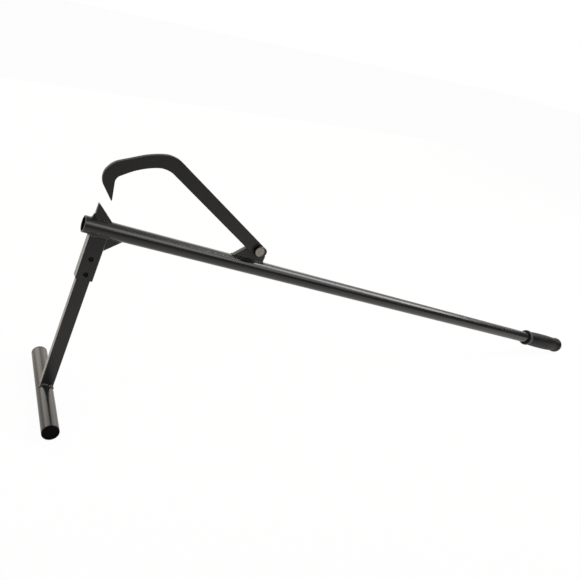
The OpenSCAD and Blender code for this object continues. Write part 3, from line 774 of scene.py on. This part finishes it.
bpy.ops.object.select_all(action="DESELECT")
bpy.ops.mesh.primitive_cylinder_add(
    vertices=HOOK_HOLE_SIDES, radius=HOOK_HOLE_R, depth=DRILL_LEN,
    location=(0, HOOK_BACK, 0), rotation=(pi / 2, 0, 0))
drill = bpy.context.object
only(hook)
hole = hook.modifiers.new("pivot_hole", "BOOLEAN")
hole.object = drill
hole.solver = "EXACT"
apply_last(hook)
bpy.data.objects.remove(drill)
hook.matrix_world = standing @ Matrix.Translation((PIVOT_X, 0, PIVOT_H))
bpy.ops.object.transform_apply(location=True, rotation=True, scale=True)
ease_edges(hook, HOOK_EASE)

# Coat on the flame cut edge: the cut edges are painted darker than the faces, as painted shade, and the coat
# over them hardly shines.
EDGE_SHADE_BLACK = "#0d0c0c"
EDGE_SHADE_GREY = "#131211"

shaded_edge_coat = new_finish("satin_coat_on_cut_edge_with_painted_shade", {"Specular IOR Level": 0.05}, like=plate_coat)
tone = shaded_edge_coat.node_tree.nodes["Principled BSDF"].inputs["Base Color"].links[0].from_node
set_tones(tone, (EDGE_SHADE_BLACK, EDGE_SHADE_GREY), DRAG_SPREAD)

fit(hook, plate_coat, "hook", "powder_coated_steel", "hook")
hook.data.materials.append(shaded_edge_coat)
edge_coat = hook.data.materials.find(shaded_edge_coat.name)
# The cut edges take the coat with painted shade.
for face in hook.data.polygons:
    if abs(face.normal.y) < EDGE_SLANT:
        face.material_index = edge_coat


# Pivot bolt: a hexagon bolt through hook and bracket, held at the back by a washer and a lock nut.
# Rolled steel with a bright zinc plating; a nylon ring in the nut's crown keeps the hook stiff on its hinge.
NUT_BACK = 16.2 * MM
BOLT_END = 18.0 * MM
BOLT_END_EASE = 0.5 * MM
BOLT_SIDES = 48
ROOT_R = 4.2 * MM
THREAD_PITCH = 1.5 * MM
THREAD_DEPTH = 0.8 * MM
THREAD_RISE = 0.1 * THREAD_DEPTH
THREAD_CORNERS = 3
THREAD_TURNS = 3
THREAD_STEPS = 32
THREAD_IN_NUT = 3.0 * MM

# Bright zinc: a soft grey metal shine, clouded by the bath and a little uneven in gloss. Its grain is drawn
# coarser than the real one, so that it shows.
ZINC_PALE = "#9d9a92"
ZINC_DULL = "#86837a"
ZINC_ROUGH = (0.32, 0.45)
ZINC_CLOUD = 4 * MM
ZINC_GRAIN = 0.7 * MM
ZINC_DEPTH = 0.008 * MM

zinc = new_finish("bright_zinc_plating", {"Metallic": 1.0})
tree = zinc.node_tree
place = add_node(tree, "ShaderNodeTexCoord")
cloud = add_node(
    tree, "ShaderNodeTexNoise", inputs={"Scale": 1 / ZINC_CLOUD, "Detail": 3.0},
    links={"Vector": place.outputs["Object"]})
tone = add_node(tree, "ShaderNodeValToRGB", links={"Fac": cloud.outputs["Fac"]})
set_tones(tone, (ZINC_DULL, ZINC_PALE), CLOUD_SPREAD)
gloss = add_node(
    tree, "ShaderNodeMapRange", inputs={"To Min": ZINC_ROUGH[0], "To Max": ZINC_ROUGH[1]},
    links={"Value": cloud.outputs["Fac"]})
grain = add_node(
    tree, "ShaderNodeTexNoise", inputs={"Scale": 1 / ZINC_GRAIN, "Detail": 1.0},
    links={"Vector": place.outputs["Object"]})
bump = add_node(
    tree, "ShaderNodeBump", inputs={"Strength": 0.5, "Distance": ZINC_DEPTH},
    links={"Height": grain.outputs["Fac"]})
link_skin(zinc, {
    "Base Color": tone.outputs["Color"], "Roughness": gloss.outputs[0], "Normal": bump.outputs[0]})

# Zinc on the bolt with painted shade: the flats of the head are painted dark, a painted shade for the dark
# plate they mirror, and its round face keeps the plain zinc.
ZINC_FLAT_SHADE = "#2b2925"
PLAIN_FACE_R = 7.7 * MM
SHADED_FLATS_R = 8.3 * MM

pivot = standing @ Vector((PIVOT_X, 0, PIVOT_H))
shaded_flats_zinc = new_finish("zinc_plating_with_painted_shade", {}, like=zinc)
tree = shaded_flats_zinc.node_tree
plated = tree.nodes["Principled BSDF"].inputs["Base Color"].links[0].from_socket
place = add_node(tree, "ShaderNodeTexCoord")
# Beyond the round face, the distance from the bolt's axis paints the zinc dark as shade.
flattened = add_node(
    tree, "ShaderNodeMapping", inputs={"Location": (-pivot.x, 0, -pivot.z), "Scale": (1, 0, 1)},
    links={"Vector": place.outputs["Object"]})
spread = add_node(tree, "ShaderNodeVectorMath", {"operation": "LENGTH"}, links={0: flattened.outputs[0]})
flats_shade_ramp = add_node(
    tree, "ShaderNodeMapRange", inputs={"From Min": PLAIN_FACE_R, "From Max": SHADED_FLATS_R},
    links={"Value": spread.outputs["Value"]})
flats_painted_shade = add_node(
    tree, "ShaderNodeMix", {"data_type": "RGBA"}, {COLOUR_B: linear(ZINC_FLAT_SHADE)},
    {0: flats_shade_ramp.outputs[0], COLOUR_A: plated})
link_skin(shaded_flats_zinc, {"Base Color": flats_painted_shade.outputs[COLOUR_OUT]})

# The plain end of the bolt is cut off inside the nut, and a core with a rolled ridge takes its place.
cut_y = NUT_BACK - THREAD_IN_NUT
bolt = eased_copy("pivot_bolt", "plated_pivot_bolt", BOLT_EASE)
only(bolt)
bpy.ops.object.mode_set(mode="EDIT")
bpy.ops.mesh.select_all(action="SELECT")
bpy.ops.mesh.bisect(plane_co=(0, cut_y, 0), plane_no=(0, 1, 0), clear_outer=True, use_fill=True)
bpy.ops.object.mode_set(mode="OBJECT")

bpy.ops.object.select_all(action="DESELECT")
bpy.ops.mesh.primitive_cylinder_add(
    vertices=BOLT_SIDES, radius=ROOT_R, depth=BOLT_END - cut_y,
    location=(pivot.x, (BOLT_END + cut_y) / 2, pivot.z), rotation=(-pi / 2, 0, 0))
core = bpy.context.object
bpy.ops.object.transform_apply(location=True, rotation=True, scale=True)
round_edges(core, BOLT_END_EASE)

bpy.ops.object.select_all(action="DESELECT")
bpy.ops.mesh.primitive_circle_add(
    vertices=THREAD_CORNERS, radius=THREAD_DEPTH,
    location=(ROOT_R + THREAD_RISE, 0, 0), rotation=(pi / 2, 0, -pi / 2))
ridge = bpy.context.object
bpy.ops.object.transform_apply(location=True, rotation=True, scale=True)
rolled = ridge.modifiers.new("rolled", "SCREW")
rolled.axis = "Z"
rolled.screw_offset = THREAD_PITCH
rolled.iterations = THREAD_TURNS
rolled.steps = THREAD_STEPS
rolled.render_steps = THREAD_STEPS
rolled.use_merge_vertices = True
apply_last(ridge)
bpy.ops.object.mode_set(mode="EDIT")
bpy.ops.mesh.select_all(action="SELECT")
bpy.ops.mesh.fill_holes(sides=4)
bpy.ops.mesh.normals_make_consistent(inside=False)
bpy.ops.object.mode_set(mode="OBJECT")
ridge.matrix_world = Matrix.Translation((pivot.x, cut_y, pivot.z)) @ Matrix.Rotation(-pi / 2, 4, "X")
bpy.ops.object.transform_apply(location=True, rotation=True, scale=True)

only(bolt)
core.select_set(True)
ridge.select_set(True)
bpy.ops.object.join()
bpy.ops.object.shade_smooth_by_angle(angle=SMOOTH_ANGLE)
fit(bolt, shaded_flats_zinc, "frame", "zinc_plated_steel", "pivot_bolt")

for node_name, piece_name in (("pivot_washer", "plated_pivot_washer"), ("pivot_lock_nut", "plated_lock_nut")):
    fit(eased_copy(node_name, piece_name, BOLT_EASE), zinc, "frame", "zinc_plated_steel", node_name)

# Natural nylon: milky, with a dull moulded skin, whose grain is drawn coarse enough to show.
NYLON = "#d5d6d8"
NYLON_ROUGH = (0.35, 0.5)
NYLON_GRAIN = 0.6 * MM
NYLON_DEPTH = 0.01 * MM
NYLON_EASE = 0.15 * MM

nylon = new_finish("natural_nylon", {"Base Color": linear(NYLON), "IOR": 1.53})
tree = nylon.node_tree
place = add_node(tree, "ShaderNodeTexCoord")
grain = add_node(
    tree, "ShaderNodeTexNoise", inputs={"Scale": 1 / NYLON_GRAIN, "Detail": 1.0},
    links={"Vector": place.outputs["Object"]})
gloss = add_node(
    tree, "ShaderNodeMapRange", inputs={"To Min": NYLON_ROUGH[0], "To Max": NYLON_ROUGH[1]},
    links={"Value": grain.outputs["Fac"]})
bump = add_node(
    tree, "ShaderNodeBump", inputs={"Strength": 0.4, "Distance": NYLON_DEPTH},
    links={"Height": grain.outputs["Fac"]})
link_skin(nylon, {"Roughness": gloss.outputs[0], "Normal": bump.outputs[0]})

fit(eased_copy("lock_nut_ring", "nylon_lock_ring", NYLON_EASE), nylon, "frame", "nylon", "lock_nut_ring")


# Grip: a moulded rubber sleeve with a rolled lip, a waist and a closed round end, pushed on the handle.
# Soft black rubber, matt from the blasted mould; the stations give its radius along the sleeve.
HANDLE_LEN = 1215.5 * MM
GRIP_LEN = 144 * MM
GRIP_BORE = 12.8 * MM
GRIP_END_WALL = 6 * MM
GRIP_SIDES = 48
GRIP_ROUNDING = 2
GRIP_STATIONS_MM = (
    (0.4, 12.8), (0.0, 13.2), (0.0, 15.6), (0.8, 17.4), (3.0, 18.3), (6.5, 18.3), (9.0, 17.6),
    (11.0, 16.4), (13.0, 16.0), (15.5, 16.4), (20.0, 16.7), (31.0, 17.3), (48.0, 17.7), (68.0, 18.0),
    (83.0, 17.9), (98.0, 17.5), (108.0, 17.0), (115.0, 16.6), (122.0, 17.0), (126.0, 17.7), (129.0, 18.05),
    (132.0, 17.8), (135.0, 16.9), (138.0, 15.4), (141.0, 12.8), (143.0, 9.5), (144.0, 5.0))

# Moulded rubber: dull charcoal with a weak, broad sheen and a stipple, drawn coarse enough to show. Pale
# rings of painted highlight lie on the lip and on the end: places as shares of the grip's length, and
# amounts.
RUBBER_DARK = "#100f11"
RUBBER_BLOOM = "#151416"
RUBBER_PAINTED_HIGHLIGHT = "#464447"
RUBBER_ROUGH = (0.36, 0.46)
RUBBER_CLOUD = 25 * MM
STIPPLE = 1.2 * MM
STIPPLE_DEPTH = 0.02 * MM
HIGHLIGHT_PLACES = ((0.0, 0.0), (0.008, 0.8), (0.045, 0.8), (0.065, 0.0), (0.955, 0.0), (0.97, 0.8), (0.985, 0.0))

rubber = new_finish("moulded_rubber", {"IOR": 1.5, "Specular IOR Level": 0.12})
tree = rubber.node_tree
place = add_node(tree, "ShaderNodeTexCoord")
cloud = add_node(
    tree, "ShaderNodeTexNoise", inputs={"Scale": 1 / RUBBER_CLOUD, "Detail": 3.0},
    links={"Vector": place.outputs["Object"]})
tone = add_node(tree, "ShaderNodeValToRGB", links={"Fac": cloud.outputs["Fac"]})
set_tones(tone, (RUBBER_DARK, RUBBER_BLOOM), CLOUD_SPREAD)
grip_front = standing @ Vector((HANDLE_LEN - GRIP_LEN, 0, 0))
along = add_node(
    tree, "ShaderNodeMapping", {"vector_type": "TEXTURE"},
    {"Location": grip_front, "Rotation": (0, handle_tilt, 0), "Scale": (GRIP_LEN, GRIP_LEN, GRIP_LEN)},
    {"Vector": place.outputs["Object"]})
share = add_node(tree, "ShaderNodeSeparateXYZ", links={0: along.outputs[0]})
# Painted highlight: a ramp along the grip paints pale rings on the lip and on the end.
highlight_ramp = add_node(tree, "ShaderNodeValToRGB", links={"Fac": share.outputs["X"]})
for spot, amount in HIGHLIGHT_PLACES[1:-1]:
    highlight_ramp.color_ramp.elements.new(spot)
for stop, (spot, amount) in zip(highlight_ramp.color_ramp.elements, HIGHLIGHT_PLACES):
    stop.position = spot
    stop.color = (amount, amount, amount, 1)
highlighted = add_node(
    tree, "ShaderNodeMix", {"data_type": "RGBA"}, {COLOUR_B: linear(RUBBER_PAINTED_HIGHLIGHT)},
    {0: highlight_ramp.outputs["Color"], COLOUR_A: tone.outputs["Color"]})
gloss = add_node(
    tree, "ShaderNodeMapRange", inputs={"To Min": RUBBER_ROUGH[0], "To Max": RUBBER_ROUGH[1]},
    links={"Value": cloud.outputs["Fac"]})
stipple = add_node(
    tree, "ShaderNodeTexNoise", inputs={"Scale": 1 / STIPPLE, "Detail": 2.0},
    links={"Vector": place.outputs["Object"]})
bump = add_node(
    tree, "ShaderNodeBump", inputs={"Strength": 0.4, "Distance": STIPPLE_DEPTH},
    links={"Height": stipple.outputs["Fac"]})
link_skin(rubber, {
    "Base Color": highlighted.outputs[COLOUR_OUT], "Roughness": gloss.outputs[0], "Normal": bump.outputs[0]})

bpy.ops.object.select_all(action="DESELECT")
bpy.ops.mesh.primitive_circle_add(
    vertices=GRIP_SIDES, radius=GRIP_BORE, location=(GRIP_LEN - GRIP_END_WALL, 0, 0), rotation=(0, pi / 2, 0))
grip = bpy.context.object
grip.name = "moulded_handle_grip"
bpy.ops.object.transform_apply(location=True, rotation=True, scale=True)
bpy.ops.object.mode_set(mode="EDIT")
bpy.ops.mesh.select_all(action="SELECT")
reach, girth = GRIP_LEN - GRIP_END_WALL, GRIP_BORE
for station, radius in GRIP_STATIONS_MM:
    bpy.ops.mesh.extrude_region_move(TRANSFORM_OT_translate={"value": (station * MM - reach, 0, 0)})
    swell = radius * MM / girth
    bpy.ops.transform.resize(value=(1, swell, swell), center_override=(station * MM, 0, 0))
    reach, girth = station * MM, radius * MM
bpy.ops.mesh.select_all(action="SELECT")
bpy.ops.mesh.fill_holes(sides=0)
bpy.ops.mesh.normals_make_consistent(inside=False)
bpy.ops.object.mode_set(mode="OBJECT")
rounding = grip.modifiers.new("moulded_round", "SUBSURF")
rounding.levels = GRIP_ROUNDING
rounding.render_levels = GRIP_ROUNDING
apply_last(grip)
bpy.ops.object.shade_smooth_by_angle(angle=SMOOTH_ANGLE)
grip.matrix_world = standing @ Matrix.Translation((HANDLE_LEN - GRIP_LEN, 0, 0))
bpy.ops.object.transform_apply(location=True, rotation=True, scale=True)
fit(grip, rubber, "frame", "grip_rubber", "handle_grip")
